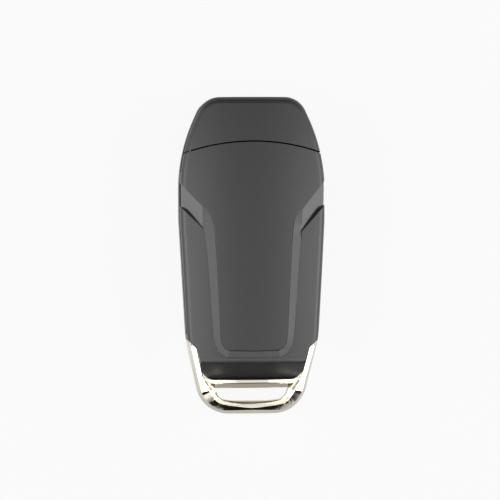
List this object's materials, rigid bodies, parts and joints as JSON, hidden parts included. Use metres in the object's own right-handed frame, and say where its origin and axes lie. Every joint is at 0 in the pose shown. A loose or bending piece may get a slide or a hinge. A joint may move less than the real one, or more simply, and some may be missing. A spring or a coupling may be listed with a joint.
{
  "type": "key fob shell",
  "caption": "Folding car key fob shell: black plastic body with a sculpted rear cover, keys, a swing-out blade and a metal key-ring loop.",
  "frame": {"origin": "middle of the plan, on the surface that the front face lies on", "axes": "+Z from the front face (keys) to the rear face in the picture, +Y from the loop to the head"},
  "size_m": [0.0374, 0.082, 0.0166],
  "materials": {
    "black_plastic": "fine spark texture",
    "frame_plastic": "moulded",
    "key_plastic": "soft satin",
    "nickel": "polished nickel plate",
    "steel": "bright",
    "blade_steel": "nickel silver, milled",
    "carrier_metal": "cast zinc",
    "rubber": "moulded silicone"
  },
  "bodies": {
    "case": {"front_case": "black_plastic", "head_cover": "black_plastic", "mid_frame": "frame_plastic", "keyring_loop": "nickel", "loop_screws": "steel", "frame_screws": "steel", "head_screw": "steel", "keypad_membrane": "rubber", "bay_seal": "rubber", "release_ring": "nickel", "thrust_washer": "steel"},
    "blade": {"blade_carrier": "carrier_metal", "key_blade": "blade_steel", "blade_pin": "steel", "flip_spring": "steel"},
    "release": {"release_button": "nickel"},
    "lock_key": {"lock_button": "key_plastic"},
    "unlock_key": {"unlock_button": "key_plastic"},
    "trunk_key": {"trunk_button": "key_plastic"},
    "panic_key": {"panic_button": "key_plastic"},
    "rear": {"rear_cover": "black_plastic"}
  },
  "joints": [
    {"name": "blade_flip", "type": "hinge", "parent": "case", "child": "blade", "pos_m": [-0.0085, 0.029, 0.00875], "axis": [0, 0, -1], "range_deg": [0, 180]},
    {"name": "release_press", "type": "slide", "parent": "blade", "child": "release", "axis": [0, 0, 1], "range_m": [0, 0.0014], "stiffness_N_per_m": 200, "deforming": ["flip_spring"]},
    {"name": "lock_press", "type": "slide", "parent": "case", "child": "lock_key", "axis": [0, 0, 1], "range_m": [0, 0.0005], "stiffness_N_per_m": 150},
    {"name": "unlock_press", "type": "slide", "parent": "case", "child": "unlock_key", "axis": [0, 0, 1], "range_m": [0, 0.0005], "stiffness_N_per_m": 150},
    {"name": "trunk_press", "type": "slide", "parent": "case", "child": "trunk_key", "axis": [0, 0, 1], "range_m": [0, 0.0005], "stiffness_N_per_m": 150},
    {"name": "panic_press", "type": "slide", "parent": "case", "child": "panic_key", "axis": [0, 0, 1], "range_m": [0, 0.0005], "stiffness_N_per_m": 150},
    {"name": "rear_cover_lift", "type": "slide", "parent": "case", "child": "rear", "axis": [0, 0, 1], "range_m": [0, 0.02]}
  ]
}
